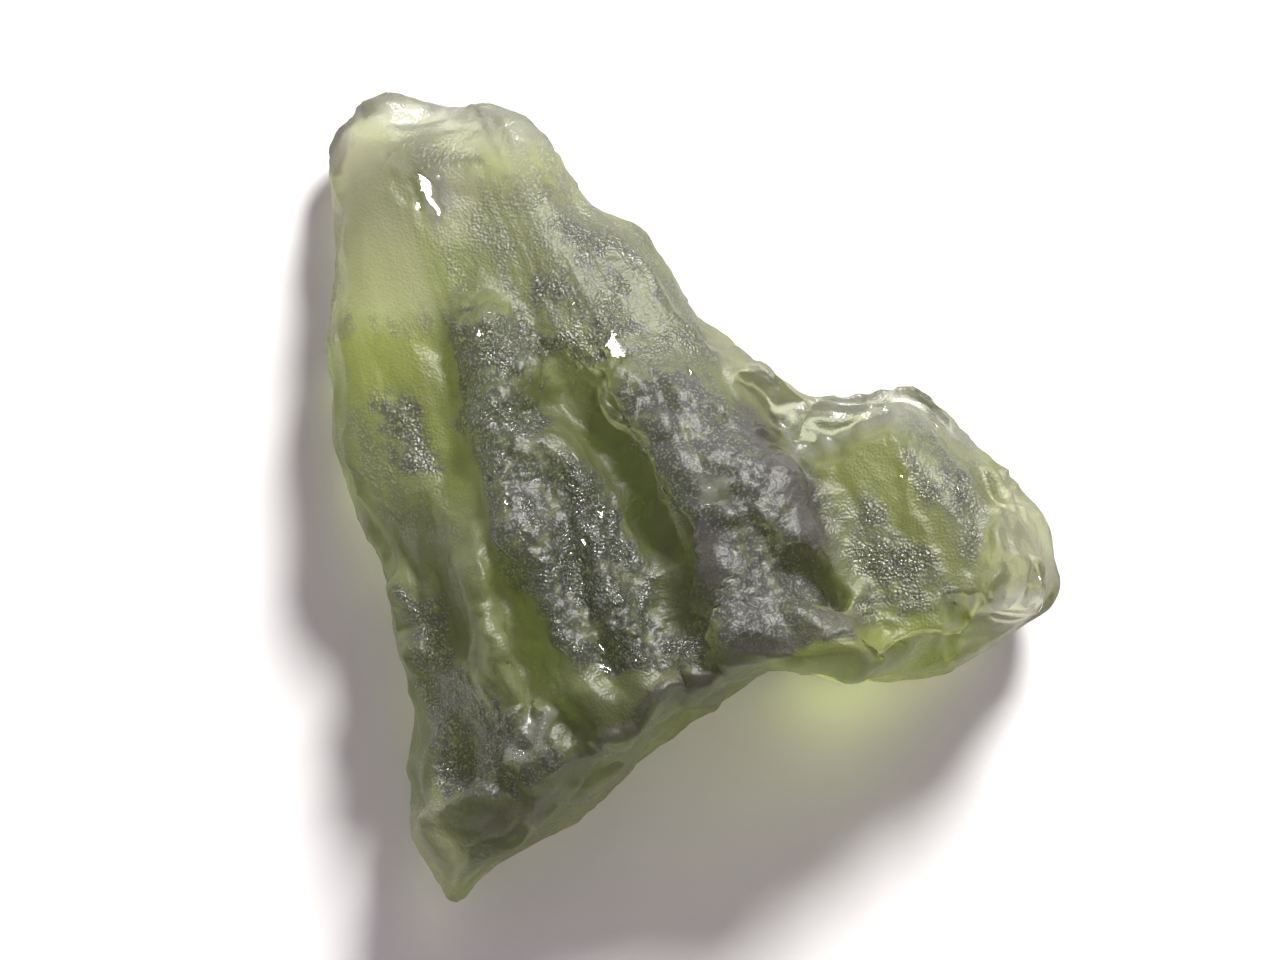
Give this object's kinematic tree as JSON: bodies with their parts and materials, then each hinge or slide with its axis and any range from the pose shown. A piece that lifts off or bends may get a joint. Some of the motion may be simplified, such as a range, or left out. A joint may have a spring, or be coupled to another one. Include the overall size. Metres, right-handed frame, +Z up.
{
  "type": "raw moldavite",
  "caption": "Splinter of translucent olive-green natural glass, wedge-shaped with a bitten side, grooved and pitted by etching, lying on its widest face.",
  "frame": {"origin": "middle of the stone's outline box, on the surface that it rests on", "axes": "+Z up, away from the surface; +Y from the pointed tip towards the thin corner; +X towards the lobe past the bitten side"},
  "size_m": [0.0164, 0.018, 0.007],
  "materials": {
    "moldavite": "etched natural glass: satin with glossy channels"
  },
  "bodies": {
    "root": {"moldavite": "moldavite"}
  },
  "joints": []
}
